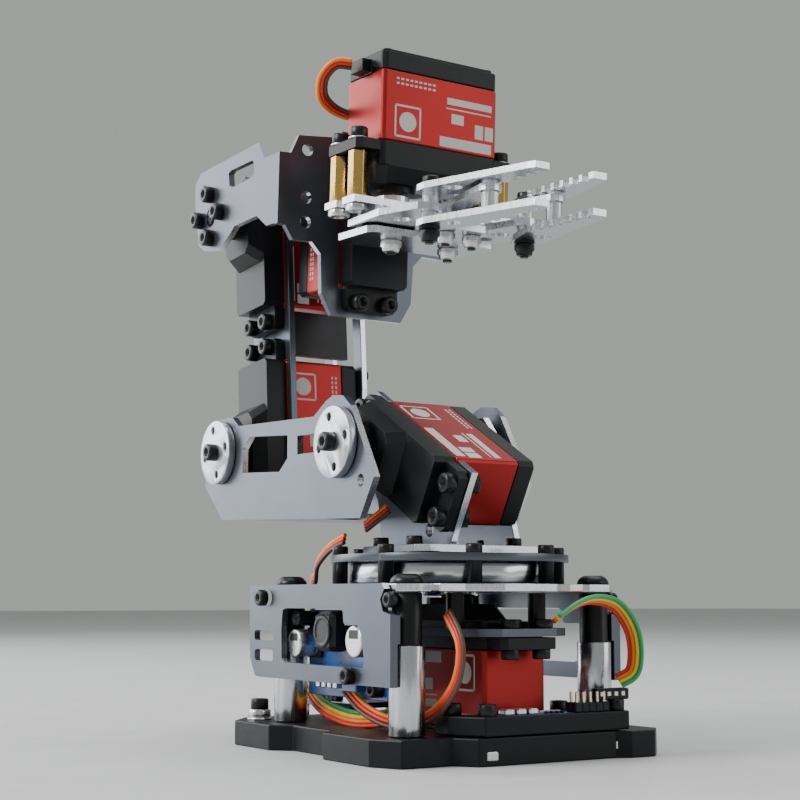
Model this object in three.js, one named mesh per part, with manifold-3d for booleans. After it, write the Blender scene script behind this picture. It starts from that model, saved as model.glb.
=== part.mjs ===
// Desktop robot arm: turntable base on a lobed plate, two link arms, wrist, roll servo and parallel gripper.
// Millimetres. +X is the way the gripper points, +Z is up, the floor is Z = 0,
// and the turntable axis is X = 0, Y = 0.
import * as THREE from 'three';
import Module from 'manifold-3d';

const wasm = await Module();
wasm.setup();

// ---- driving dimensions -------------------------------------------------
const GAP = 0.3;

// base
const PLATE_H = 7;
const PILLAR_X = [-35.7, 25.2];
const PILLAR_Y = 30.5;
const SLEEVE_R = 4.7;
const TUBE_R = 3.9;
const SLEEVE_TOP = 29.8;
const DECK_Z = 43.4;
const DECK_T = 2;
const BEARING_OD = 56;
const BEARING_ID = 45;
const BEARING_TOP = 51.2;
const CLAMP_R = 33;
const CLAMP_Z = 51.5;
const CLAMP_T = 2;
const SPACER_R = 30.8;
const PANEL_Y = 35.6;
const PANEL_T = 1.8;
const SERVO_PLATE_Z = 31.9;
const PLATE_FLOOR = 1.3;
const SHEET = 2;

// servo, one size used six times
const SV_LONG = 40;
const SV_WIDE = 20;
const SV_AXIS = 10;
const SV_COVER = 6.1;
const SV_MID = 26.8;
const SV_EAR = 3;
const SV_STEP = 34;
const SV_TOP = 38.6;
const SV_BOSS = 40.4;
const SV_SPLINE = 44;
const EAR_REACH = 7.25;
const EAR_HOLE = 4.75;

// arm
const SHOULDER = [-11, 84.7];
const ELBOW = [-84.5, 87.5];
const WRIST = [-90, 165];
const SHOULDER_TILT = 29.5;
const WRIST_PITCH = 2.5;
const CASE_Y = 22.7;
const EAR_PLATE_Y = [-10.7, -8.7];
const FAR_PLATE_Y = [16.2, 18.2];
const LINK_Y = [27.5, 29.5];
const LINK_FAR_Y = [21.6, 23.4];
const WRIST_Y = [30, 32];
const HORN_R = 10;
const FRONT_X = -43.5;

// gripper, measured before the wrist pitch is applied
const ROLL_Z = 168.4;
const GRIP_X = -14.2;
const GRIP_TOP = 202;
const PALM_Z = 156.3;
const LINK_Z = [153.8, 155.6];
const ARM_Z = [151, 153];
const FINGER_Z = [146.6, 148.4];
const SOLE_Z = [148.4, 150.4];
const GEAR_Y = 10;
const PIN = [15.5, 16.2];
const FOLLOW = [6, 4.5];
const GEAR_TEETH = 18;

// ---- colours ------------------------------------------------------------
const paint = {
  black: [0x17181b, 0.55, 0.1],
  red: [0xa3121a, 0.35, 0.7],
  silver: [0xb9c0c8, 0.35, 0.9],
  bright: [0xdfe2e6, 0.2, 1.0],
  brass: [0xc79a3a, 0.3, 1.0],
  board: [0x153a78, 0.6, 0.1],
  cable: [0xc8641e, 0.7, 0.0],
};

function material(name) {
  const [color, roughness, metalness] = paint[name];
  return new THREE.MeshStandardMaterial({ color, roughness, metalness });
}

// ---- solid helpers ------------------------------------------------------
function solidOf(geometry) {
  const src = geometry.index ? geometry.toNonIndexed() : geometry;
  const pos = src.getAttribute('position');
  const index = new Map();
  const verts = [];
  const tris = [];
  for (let i = 0; i < pos.count; i += 1) {
    const p = [pos.getX(i), pos.getY(i), pos.getZ(i)];
    const key = p.map((v) => Math.round(v * 1e4)).join(',');
    if (!index.has(key)) {
      index.set(key, verts.length / 3);
      verts.push(...p);
    }
    tris.push(index.get(key));
  }
  const kept = [];
  for (let i = 0; i < tris.length; i += 3) {
    const [a, b, c] = [tris[i], tris[i + 1], tris[i + 2]];
    if (a !== b && b !== c && a !== c) kept.push(a, b, c);
  }
  const mesh = new wasm.Mesh({
    numProp: 3,
    vertProperties: new Float32Array(verts),
    triVerts: new Uint32Array(kept),
  });
  return new wasm.Manifold(mesh);
}

function join(...solids) {
  return solids.reduce((a, b) => a.add(b));
}

function cut(solid, ...tools) {
  return tools.reduce((a, b) => a.subtract(b), solid);
}

function polygonShape(points, holes = []) {
  const shape = new THREE.Shape(points.map(([x, y]) => new THREE.Vector2(x, y)));
  for (const hole of holes) {
    shape.holes.push(new THREE.Path(hole.map(([x, y]) => new THREE.Vector2(x, y))));
  }
  return shape;
}

function slab(points, holes, depth) {
  return new THREE.ExtrudeGeometry(polygonShape(points, holes), {
    depth,
    bevelEnabled: false,
    curveSegments: 1,
  });
}

// outline in X,Y, thickness along Z
function plateZ(points, holes, z0, z1) {
  const g = slab(points, holes, z1 - z0);
  g.translate(0, 0, z0);
  return solidOf(g);
}

// outline in X,Z, thickness along Y
function plateY(points, holes, y0, y1) {
  const g = slab(points, holes, y1 - y0);
  g.rotateX(Math.PI / 2);
  g.translate(0, y1, 0);
  return solidOf(g);
}

// outline in Y,Z, thickness along X
function plateX(points, holes, x0, x1) {
  const g = slab(points, holes, x1 - x0);
  const turn = new THREE.Matrix4().set(0, 0, 1, x0, 1, 0, 0, 0, 0, 1, 0, 0, 0, 0, 0, 1);
  g.applyMatrix4(turn);
  return solidOf(g);
}

function box(x0, x1, y0, y1, z0, z1) {
  return plateZ([[x0, y0], [x1, y0], [x1, y1], [x0, y1]], [], z0, z1);
}

function ring(cx, cy, r, n = 16, start = 0) {
  const points = [];
  for (let i = 0; i < n; i += 1) {
    const a = start + (2 * Math.PI * i) / n;
    points.push([cx + r * Math.cos(a), cy + r * Math.sin(a)]);
  }
  return points;
}

function rodZ(cx, cy, r, z0, z1, n = 20) {
  return plateZ(ring(cx, cy, r, n), [], z0, z1);
}

function rodY(cx, cz, r, y0, y1, n = 20) {
  return plateY(ring(cx, cz, r, n), [], y0, y1);
}

function rodX(cy, cz, r, x0, x1, n = 20) {
  return plateX(ring(cy, cz, r, n), [], x0, x1);
}

function chamfered(x0, x1, y0, y1, c) {
  return [
    [x0 + c, y0], [x1 - c, y0], [x1, y0 + c], [x1, y1 - c],
    [x1 - c, y1], [x0 + c, y1], [x0, y1 - c], [x0, y0 + c],
  ];
}

function rounded(x0, x1, y0, y1, r, n = 3) {
  const points = [];
  const corners = [[x1 - r, y1 - r, 0], [x0 + r, y1 - r, 1], [x0 + r, y0 + r, 2], [x1 - r, y0 + r, 3]];
  for (const [cx, cy, q] of corners) {
    for (let i = 0; i <= n; i += 1) {
      const a = (q + i / n) * (Math.PI / 2);
      points.push([cx + r * Math.cos(a), cy + r * Math.sin(a)]);
    }
  }
  return points;
}

// ---- assembly -----------------------------------------------------------
const assembly = new THREE.Group();
assembly.name = 'desktop_robot_arm';

const WRIST_TURN = new THREE.Matrix4()
  .makeTranslation(WRIST[0], 0, WRIST[1])
  .multiply(new THREE.Matrix4().makeRotationY(THREE.MathUtils.degToRad(WRIST_PITCH)))
  .multiply(new THREE.Matrix4().makeTranslation(-WRIST[0], 0, -WRIST[1]));

function put(name, solid, colour, turn = null) {
  const m = solid.getMesh();
  const geometry = new THREE.BufferGeometry();
  geometry.setAttribute('position', new THREE.BufferAttribute(new Float32Array(m.vertProperties), 3));
  geometry.setIndex(new THREE.BufferAttribute(new Uint32Array(m.triVerts), 1));
  if (turn) geometry.applyMatrix4(turn);
  geometry.computeVertexNormals();
  const mesh = new THREE.Mesh(geometry, material(colour));
  mesh.name = name;
  assembly.add(mesh);
}

// servo in its own frame: output axis on local Z, body from -10 to 30 along local X
function servo(name, basis, turn = null) {
  const [u, v, w, origin] = basis;
  const place = new THREE.Matrix4().makeBasis(
    new THREE.Vector3(...u),
    new THREE.Vector3(...v),
    new THREE.Vector3(...w),
  );
  place.setPosition(...origin);
  if (turn) place.premultiply(turn);
  const x0 = -SV_AXIS;
  const x1 = SV_LONG - SV_AXIS;
  const half = SV_WIDE / 2;
  const foot = chamfered(x0, x1, -half, half, 1.2);
  const lid = join(
    plateZ(chamfered(x0 + 0.9, x1 - 0.9, -half + 0.9, half - 0.9, 1.2), [], 0, 1.2),
    plateZ(foot, [], 1, SV_COVER),
    box(x0 - 3.2, x0 + 0.5, -3.2, 3.2, 2.2, SV_COVER - 0.2),
  );
  const mid = plateZ(chamfered(x0, x1, -half, half, 0.8), [], SV_COVER + 0.2, SV_MID);
  const ear = chamfered(x0 - EAR_REACH, x1 + EAR_REACH, -9, 9, 1.5);
  const holes = [];
  for (const x of [x0 - EAR_HOLE, x1 + EAR_HOLE]) {
    for (const y of [-5, 5]) {
      holes.push(ring(x, y, 2.1, 10));
    }
  }
  const z0 = SV_MID + 0.2;
  const raised = join(
    plateZ(chamfered(x0, 15.5, -half, half, 2.4), [], SV_STEP - 1, SV_STEP + 0.2),
    plateZ(chamfered(x0 + 0.6, 12.5, -half + 2, half - 2, 2.4), [], SV_TOP - 0.2, SV_TOP),
  ).hull();
  const gearcase = join(
    plateZ(ear, holes, z0, z0 + SV_EAR),
    plateZ(foot, [], z0, SV_STEP),
    raised,
    rodZ(0, 0, 6.5, SV_TOP - 1, SV_BOSS),
    rodZ(0, 0, 2.9, SV_BOSS - 1, SV_SPLINE, 16),
  );
  put(`${name}_cover`, lid, 'black', place);
  put(`${name}_mid_case`, mid, 'red', place);
  put(`${name}_gear_case`, gearcase, 'black', place);
}

// ---- base ---------------------------------------------------------------
const [xr, xf] = PILLAR_X;
const basePlate = [
  [-58, -34], [-50, -41], [-29, -41], [-24, -36], [-4, -36], [1, -41], [24, -41], [33, -37],
  [33, -22], [39, -18], [39, 26], [41, 30], [41, 38], [36, 43], [14, 43], [8, 37], [-24, 37],
  [-30, 43], [-50, 43], [-58, 36],
];
const servoPocket = plateZ(rounded(-14, 31.5, -11.5, 11.5, 2), [], PLATE_FLOOR, PLATE_H + 1);
put('base_plate', cut(plateZ(basePlate, [rounded(-50, -26, -14, 12, 4)], 0, PLATE_H), servoPocket), 'black');

const corners = [['rear_near', xr, -1], ['front_near', xf, -1], ['front_far', xf, 1], ['rear_far', xr, 1]];
for (const [tag, x, side] of corners) {
  const y = side * PILLAR_Y;
  const pillar = join(
    rodZ(x, y, SLEEVE_R, PLATE_H + GAP, SLEEVE_TOP, 24),
    rodZ(x, y, TUBE_R, SLEEVE_TOP - 1, DECK_Z - GAP, 20),
  );
  put(`pillar_${tag}`, pillar, 'silver');
}

const deckOutline = [
  [-44, -31.5], [-40, -35.2], [-30, -35.2], [-24, -34], [12, -34], [18, -35.2], [27.4, -35.2],
  [31.5, -31], [31.5, -27.3], [35.5, -27.3], [35.5, -19.5], [40, -10.3], [40, 6.4], [37, 10],
  [35.5, 14.3], [35.5, 18.7], [33.5, 20], [31.8, 24], [31.8, 31], [27.4, 35.2],
  [18, 35.2], [12, 34], [-24, 34], [-30, 35.2], [-40, 35.2], [-44, 31.5], [-44, 25],
  [-40, 19], [-40, -19], [-44, -25],
];
put('top_deck', plateZ(deckOutline, [ring(0, 0, 24, 40)], DECK_Z, DECK_Z + DECK_T), 'silver');

const deckTop = DECK_Z + DECK_T;
const race = plateZ(
  ring(0, 0, BEARING_OD / 2, 48),
  [ring(0, 0, BEARING_ID / 2 + 1, 36)],
  deckTop + GAP,
  BEARING_TOP,
);
put('bearing_outer_race', race, 'bright');

const SPACERS = 8;
const clampHole = ring(0, 0, BEARING_ID / 2 + 1.2, 36);
let clamp = plateZ(ring(0, 0, CLAMP_R, 48), [clampHole], CLAMP_Z, CLAMP_Z + CLAMP_T);
for (let i = 0; i < SPACERS; i += 1) {
  const a = ((i + 0.5) * 2 * Math.PI) / SPACERS;
  const sx = SPACER_R * Math.cos(a);
  const sy = SPACER_R * Math.sin(a);
  clamp = clamp.add(rodZ(sx, sy, 2.2, deckTop + GAP, CLAMP_Z + 0.5, 10));
}
put('clamp_ring', clamp, 'silver');

// side panels, a flat sheet with a window, slots and an edge bent inwards at the front
const panelOutline = [
  [-44.8, 19.8], [-42, 19.5], [28.2, 19.5], [28.2, 37.6], [24.7, 38.4], [23.4, 41.4], [25.3, 44.1],
  [24.2, 45.5], [-47.8, 45.5], [-48.5, 44], [-47.9, 25],
];
const panelHoles = [
  [
    [-29, 33.3], [-28.3, 38.5], [-26.4, 39], [3.4, 39], [4.8, 38.3], [5.2, 35.4], [6.2, 34.7],
    [12.3, 34.8], [14, 33.9], [15.7, 25.2], [14.7, 23.8], [-26.5, 24], [-28.7, 25.2],
  ],
  rounded(-43, -34.8, 39.6, 44.2, 2.2),
  rounded(-45.2, -33.7, 29.9, 32.7, 0.8),
  rounded(-45, -33.9, 24.1, 27.3, 0.8),
];
for (const [tag, side] of [['near', -1], ['far', 1]]) {
  const a = side * PANEL_Y;
  const b = side * (PANEL_Y + PANEL_T);
  const y0 = Math.min(a, b);
  const y1 = Math.max(a, b);
  const bent = side * 34.4;
  const lip = side * 35.2;
  const sheet = plateY(panelOutline, panelHoles, y0, y1);
  const edge = join(
    box(26.6, 28.2, Math.min(b, lip), Math.max(b, lip), 19.5, 37.4),
    box(26.6, 28.2, Math.min(b, bent), Math.max(b, bent), SLEEVE_TOP + 0.4, 37.4),
  );
  put(`side_panel_${tag}`, join(sheet, edge), 'silver');
}

// servo plate under the deck, hung on four posts beside the base servo
const platePoints = [
  [-24, -16], [31, -16], [33.5, -14], [38, -10], [38, 7.6], [33.5, 14], [31, 16], [-24, 16],
];
const plateHole = [rounded(-10.4, 30.4, -10.4, 10.4, 0.8)];
const earHoles = [];
for (const x of [-SV_AXIS - EAR_HOLE, SV_LONG - SV_AXIS + EAR_HOLE]) {
  for (const y of [-5, 5]) earHoles.push(ring(x, y, 1.7, 10));
}
let servoPlate = plateZ(platePoints, [...plateHole, ...earHoles], SERVO_PLATE_Z, SERVO_PLATE_Z + SHEET);
for (const [x, y] of [[22, -13.4], [22, 13.4], [-20, -13], [-20, 13]]) {
  servoPlate = servoPlate.add(rodZ(x, y, 2.4, SERVO_PLATE_Z + 1, DECK_Z - GAP, 12));
}
put('servo_plate', servoPlate, 'silver');
servo('base_servo', [[1, 0, 0], [0, 1, 0], [0, 0, 1], [0, 0, SERVO_PLATE_Z - GAP - SV_MID - 0.2 - SV_EAR]]);

// tray with the bus board at the front, converter board behind the near panel, controller at the rear
const TRAY_TOP = 12.2;
const trayOutline = [
  [24, -21.5], [30.5, -21.5], [39, -16], [39, 31], [31.8, 31], [31.8, -12.5], [24, -16],
];
const tray = cut(
  plateZ(trayOutline, [], PLATE_H + GAP, TRAY_TOP),
  box(33, 38.2, -10, 25, 10.4, 14),
);
put('front_tray', tray, 'black');
const busParts = [
  box(33.2, 38, -9.8, 24.8, 10.6, 12.2),
  box(34, 37.6, -8, 3, 11.6, 13.6),
  box(34, 37.6, 5, 11, 11.6, 13.2),
  box(34.4, 37.4, 14, 24, 11.6, 18),
  box(34.4, 37.4, 23, 32.5, 15, 18),
];
put('bus_board', join(...busParts), 'board');

const CONV_Y = -27.9;
const CONV_FRONT = -35.3;
const converter = box(-30, 12, CONV_Y, CONV_Y + 1.6, 15, 38.5);
const convParts = [
  box(-15.5, -5.3, CONV_FRONT, CONV_Y + 0.5, 27.4, 38.3),
  rodY(-25.6, 29.4, 3.8, CONV_FRONT, CONV_Y + 0.5, 20),
  rodY(6.6, 30.5, 4.2, CONV_FRONT, CONV_Y + 0.5, 20),
];
put('converter_board', join(converter, ...convParts), 'board');
const controller = join(
  box(-56, -20, -20, 18, PLATE_H + 4, PLATE_H + 5.6),
  box(-48, -30, -19, -16.5, PLATE_H + 5, PLATE_H + 13),
  box(-52, -40, -6, 6, PLATE_H + 5, PLATE_H + 12),
  box(-44, -32, -10, 10, PLATE_H + GAP, PLATE_H + 4.5),
);
put('controller_board', controller, 'board');

// ---- turntable ----------------------------------------------------------
const ROTOR_TOP = 53.7;
const rotor = cut(
  join(
    rodZ(0, 0, 8, 42.4, 47, 24),
    rodZ(0, 0, BEARING_ID / 2 + 0.6, deckTop + GAP, ROTOR_TOP, 48),
  ),
  rodZ(0, 0, 3.3, 41, 46, 20),
);
put('turntable_rotor', rotor, 'bright');

const tilt = THREE.MathUtils.degToRad(SHOULDER_TILT);
const along = [Math.cos(tilt), -Math.sin(tilt)];
const upward = [Math.sin(tilt), Math.cos(tilt)];
function onShoulder(u, v) {
  return [
    SHOULDER[0] + u * along[0] + v * upward[0],
    SHOULDER[1] + u * along[1] + v * upward[1],
  ];
}
const FOOT_Z = ROTOR_TOP + GAP;
const nearCheek = cut(
  plateY([
    onShoulder(37.5, 9.5), onShoulder(37.5, -12.5), [16, FOOT_Z], [-18, FOOT_Z], [-21, 70],
    onShoulder(-17.5, -11), onShoulder(-17.5, 9.5),
  ], [ring(6, 60.2, 1.8, 12)], EAR_PLATE_Y[0], EAR_PLATE_Y[1]),
  plateY([
    onShoulder(-10.4, -10.4), onShoulder(30.4, -10.4), onShoulder(30.4, 20), onShoulder(-10.4, 20),
  ], [], -30, 30),
);
const farCheek = plateY([
  [-18, FOOT_Z], [10, FOOT_Z], [-1, 88], [-6, 94], [-16, 94], [-21, 88], [-22, 74],
], [], FAR_PLATE_Y[0], FAR_PLATE_Y[1]);
const foot = plateZ([
  [-18, -10.7], [-12, -21], [14, -21], [17, -18], [17, 18], [10, 21], [-12, 21], [-18, 17],
], [], FOOT_Z, FOOT_Z + SHEET);
function idler(axis, y1) {
  return join(
    rodY(axis[0], axis[1], 6, FAR_PLATE_Y[0] + 1, y1 - GAP, 24),
    rodY(axis[0], axis[1], 2.8, y1 - 2, y1 + 4, 16),
  );
}
put('shoulder_bracket', join(nearCheek, farCheek, foot, idler(SHOULDER, LINK_FAR_Y[0])), 'silver');
servo('shoulder_servo', [
  [along[0], 0, along[1]],
  [upward[0], 0, upward[1]],
  [0, -1, 0],
  [SHOULDER[0], SV_TOP - CASE_Y, SHOULDER[1]],
]);

// ---- lower link ---------------------------------------------------------
const linkOutline = [
  [-90, 98.2], [-77.5, 98.2], [-72.8, 95], [-25.5, 93.3], [-18.5, 97], [-14.5, 98.3], [-9, 97.6],
  [-5, 94.6], [7.5, 74],
  [0.3, 63.2], [-83.6, 66.2], [-96, 77.4], [-96, 91],
];
const linkWindows = [
  [[-70, 80.2], [-46, 78.9], [-41, 82.5], [-41, 89.3], [-65.5, 91], [-70, 87.5]],
  [[-35, 83.2], [-24, 83], [-24, 88.3], [-35, 88.6]],
  ring(0.6, 73.4, 1.8, 12),
];
const axleHoles = [ring(SHOULDER[0], SHOULDER[1], 5.2, 24), ring(ELBOW[0], ELBOW[1], 5.2, 24)];
const idlerHoles = [ring(SHOULDER[0], SHOULDER[1], 3.2, 20), ring(ELBOW[0], ELBOW[1], 3.2, 20)];
const lowerLink = join(
  plateY(linkOutline, [...linkWindows, ...axleHoles], -LINK_Y[1], -LINK_Y[0]),
  plateY(linkOutline, [...linkWindows, ...idlerHoles], LINK_FAR_Y[0], LINK_FAR_Y[1]),
  plateY([[-70, 65.74], [-25, 64.13], [-25, 66.13], [-70, 67.74]], [], -LINK_Y[1], LINK_FAR_Y[1]),
);
put('lower_link', lowerLink, 'silver');

// horn with its flange outside the plate and its hub reaching in to the spline
function outerHorn(axis) {
  return cut(
    join(
      rodY(axis[0], axis[1], HORN_R, -32, -29.8, 40),
      rodY(axis[0], axis[1], 4.9, -31, -25, 20),
    ),
    rodY(axis[0], axis[1], 3.2, -29, -24, 18),
    ...[0, 1, 2, 3].map((i) => {
      const a = (i * Math.PI) / 2 + 0.2;
      return rodY(axis[0] + 7.2 * Math.cos(a), axis[1] + 7.2 * Math.sin(a), 1.3, -33, -29, 10);
    }),
  );
}
put('shoulder_horn', outerHorn(SHOULDER), 'bright');
put('elbow_horn', outerHorn(ELBOW), 'bright');

// ---- upper arm ----------------------------------------------------------
const armDx = WRIST[0] - ELBOW[0];
const armDz = WRIST[1] - ELBOW[1];
const ARM_LEN = Math.hypot(armDx, armDz);
const armUp = [armDx / ARM_LEN, armDz / ARM_LEN];
const armSide = [armUp[1], -armUp[0]];
function onArm(u, v) {
  return [
    ELBOW[0] + u * armUp[0] + v * armSide[0],
    ELBOW[1] + u * armUp[1] + v * armSide[1],
  ];
}
function armBox(u0, u1, v0, v1, y0, y1) {
  return plateY([onArm(u0, v0), onArm(u0, v1), onArm(u1, v1), onArm(u1, v0)], [], y0, y1);
}
const armPlate = cut(
  plateY([
    onArm(-17, -9), onArm(-14, -12.5), onArm(ARM_LEN + 14, -12.5), onArm(ARM_LEN + 17, -9),
    onArm(ARM_LEN + 17, 9), onArm(ARM_LEN + 14, 12.5), onArm(-14, 12.5), onArm(-17, 9),
  ], [], EAR_PLATE_Y[0], EAR_PLATE_Y[1]),
  armBox(-10.4, 30.4, -10.4, 10.4, -30, 30),
  armBox(ARM_LEN - 30.4, ARM_LEN + 10.4, -10.4, 10.4, -30, 30),
);
const armWeb = armBox(31.5, ARM_LEN - 31.5, 8.3, 10.3, EAR_PLATE_Y[0], 12);
put('upper_arm_frame', join(armPlate, armWeb), 'silver');
const spineOutline = [
  onArm(-9, -5), onArm(-9, 5), onArm(-5, 9), onArm(22, 12), onArm(ARM_LEN - 22, 12),
  onArm(ARM_LEN + 5, 9), onArm(ARM_LEN + 9, 5), onArm(ARM_LEN + 9, -5), onArm(ARM_LEN + 5, -9),
  onArm(ARM_LEN - 22, -12), onArm(22, -12), onArm(-5, -9),
];
const spineWindow = [[onArm(18, -7), onArm(18, 7), onArm(ARM_LEN - 18, 7), onArm(ARM_LEN - 18, -7)]];
const spine = join(
  plateY(spineOutline, spineWindow, FAR_PLATE_Y[0], FAR_PLATE_Y[1]),
  idler(ELBOW, LINK_FAR_Y[0]),
  idler(WRIST, WRIST_Y[0]),
);
put('upper_arm_spine', spine, 'silver');
const caseOrigin = SV_TOP - CASE_Y;
servo('elbow_servo', [
  [armUp[0], 0, armUp[1]],
  [-armSide[0], 0, -armSide[1]],
  [0, -1, 0],
  [ELBOW[0], caseOrigin, ELBOW[1]],
]);
servo('wrist_servo', [
  [-armUp[0], 0, -armUp[1]],
  [armSide[0], 0, armSide[1]],
  [0, -1, 0],
  [WRIST[0], caseOrigin, WRIST[1]],
]);

// ---- wrist --------------------------------------------------------------
const wristOutline = [
  [-98.8, 180.9], [-57.5, 183], [-53.3, 177.2], [FRONT_X, 177.4], [FRONT_X, 155.8], [-50.8, 155.8],
  [-57.4, 159.9], [-72.5, 159.2], [-75, 157.4], [-83.7, 152.8], [-94.2, 154.3], [-98.2, 156.4],
  [-102.3, 170.7], [-102.4, 178],
];
const wristWindow = [
  [-77.8, 177], [-76.5, 177.7], [-61.5, 178.1], [-60.2, 177], [-59.9, 173.4], [-62, 172.8],
  [-74.7, 171.9], [-77, 172.9],
];
const wristSide = [
  [12.5, 129.4], [16.2, 135.8], [16.8, 147.8], [20, 151.3], [26.6, 151.1], [29.3, 155.2], [32, 155.5],
  [32, 177.4], [28, 177.6], [25.5, 183.4], [14, 184.6], [10.5, 184.9], [10.5, 187],
];
const wristFront = [...wristSide, ...wristSide.map(([y, z]) => [-y, z]).reverse()];
const rollHoles = [rounded(-10.4, 10.4, ROLL_Z - 30.4, ROLL_Z + 10.4, 0.8)];
for (const y of [-5, 5]) {
  for (const z of [ROLL_Z + SV_AXIS + EAR_HOLE, ROLL_Z - SV_LONG + SV_AXIS - EAR_HOLE]) {
    rollHoles.push(ring(y, z, 1.7, 10));
  }
}
for (const z of [157, 164.6, 179.3]) {
  for (const y of [-22.4, 22.4]) rollHoles.push(ring(y, z, 1.9, 12));
}
const wristBracket = cut(
  join(
    plateY(wristOutline, [], -WRIST_Y[1], -WRIST_Y[0]),
    plateY(wristOutline, [], WRIST_Y[0], WRIST_Y[1]),
    plateX(wristFront, rollHoles, FRONT_X - SHEET, FRONT_X),
  ),
  plateY(wristWindow, [], -40, 40),
  rodY(WRIST[0], WRIST[1], 3.3, -40, 40, 20),
);
put('wrist_bracket', wristBracket, 'silver', WRIST_TURN);
const wristHorn = cut(
  rodY(WRIST[0], WRIST[1], HORN_R, -WRIST_Y[0] + GAP, -27.5, 40)
    .add(rodY(WRIST[0], WRIST[1], 4.9, -28, -25, 20)),
  rodY(WRIST[0], WRIST[1], 3.2, -32, -24, 18),
);
put('wrist_horn', wristHorn, 'bright', WRIST_TURN);
const rollBottom = FRONT_X + GAP - SV_MID - 0.2;
servo('roll_servo', [
  [0, 0, -1],
  [0, 1, 0],
  [1, 0, 0],
  [rollBottom, 0, ROLL_Z],
], WRIST_TURN);

// ---- gripper ------------------------------------------------------------
const gripTopX = rollBottom + SV_TOP;
const rollHorn = cut(
  rodX(0, ROLL_Z, HORN_R, gripTopX + 2.4, gripTopX + 4.7, 36),
  rodX(0, ROLL_Z, 3.2, gripTopX, gripTopX + 6, 18),
);
put('roll_horn', rollHorn, 'bright', WRIST_TURN);

const BACK_X = gripTopX + 5;
const palmOutline = [
  [BACK_X, -14], [-22.6, -14], [-22.6, -27.7], [-15.8, -27.7], [-15.8, -25], [-12.6, -25],
  [-12.6, -27.7], [-5.8, -27.7], [-5.8, 27.7], [-12.6, 27.7], [-12.6, 25], [-15.8, 25],
  [-15.8, 27.7], [-22.6, 27.7], [-22.6, 14], [BACK_X, 14],
];
const soleOutline = [
  [BACK_X, -14], [-24, -22], [-8, -22], [-6, -20], [-6, -8], [9, -8], [12, -5], [12, 5], [9, 8],
  [-6, 8], [-6, 20], [-8, 22], [-24, 22], [BACK_X, 14],
];
const palmPlate = join(
  plateZ(palmOutline, [ring(GRIP_X, -GEAR_Y, 7, 24)], PALM_Z, PALM_Z + SHEET),
  plateX([
    [-14, PALM_Z], [14, PALM_Z], [14, ROLL_Z + 6], [9, ROLL_Z + 12], [-9, ROLL_Z + 12], [-14, ROLL_Z + 6],
  ], [
    ring(0, ROLL_Z, 3.2, 18),
  ], BACK_X, BACK_X + SHEET),
  plateZ(soleOutline, [ring(GRIP_X, -GEAR_Y, 2.2, 16)], SOLE_Z[0], SOLE_Z[1]),
  box(BACK_X, BACK_X + 1.6, -14, 14, SOLE_Z[0], PALM_Z + 1),
  rodZ(GRIP_X, GEAR_Y, 1.9, SOLE_Z[0] + 1, PALM_Z + 1, 16),
  rodZ(FOLLOW[0], FOLLOW[1], 1.5, SOLE_Z[0] + 1, LINK_Z[1] + 0.4, 14),
  rodZ(FOLLOW[0], -FOLLOW[1], 1.5, SOLE_Z[0] + 1, LINK_Z[1] + 0.4, 14),
);
put('palm_frame', palmPlate, 'bright', WRIST_TURN);

const earLow = GRIP_TOP - SV_MID - 0.2 - SV_EAR;
const posts = [['near_rear', -5, -1], ['near_front', 5, -1], ['far_rear', -5, 1], ['far_front', 5, 1]];
for (const [tag, dx, side] of posts) {
  const post = plateZ(
    ring(GRIP_X + dx, side * (SV_LONG / 2 + EAR_HOLE), 2.9, 6),
    [],
    PALM_Z + SHEET + GAP,
    earLow - GAP,
  );
  put(`standoff_${tag}`, post, 'brass', WRIST_TURN);
}
servo('gripper_servo', [
  [0, 1, 0],
  [1, 0, 0],
  [0, 0, -1],
  [GRIP_X, -GEAR_Y, GRIP_TOP],
], WRIST_TURN);

// lever with a toothed end, pitch radius equal to half the distance between the two gears
function gear(cx, cy, phase, z0, z1) {
  const points = [];
  for (let i = 0; i < GEAR_TEETH; i += 1) {
    const a = phase + (i * 2 * Math.PI) / GEAR_TEETH;
    const p = (2 * Math.PI) / GEAR_TEETH;
    for (const [r, f] of [[9.1, -0.27], [10.4, -0.11], [10.4, 0.11], [9.1, 0.27]]) {
      points.push([cx + r * Math.cos(a + f * p), cy + r * Math.sin(a + f * p)]);
    }
  }
  return plateZ(points, [], z0, z1);
}

function bar(a, b, half, z0, z1) {
  const dx = b[0] - a[0];
  const dy = b[1] - a[1];
  const base = Math.atan2(dy, dx);
  const points = [];
  for (let i = 0; i <= 8; i += 1) {
    const t = base + Math.PI / 2 + (Math.PI * i) / 8;
    points.push([a[0] + half * Math.cos(t), a[1] + half * Math.sin(t)]);
  }
  for (let i = 0; i <= 8; i += 1) {
    const t = base - Math.PI / 2 + (Math.PI * i) / 8;
    points.push([b[0] + half * Math.cos(t), b[1] + half * Math.sin(t)]);
  }
  return plateZ(points, [], z0, z1);
}

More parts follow.
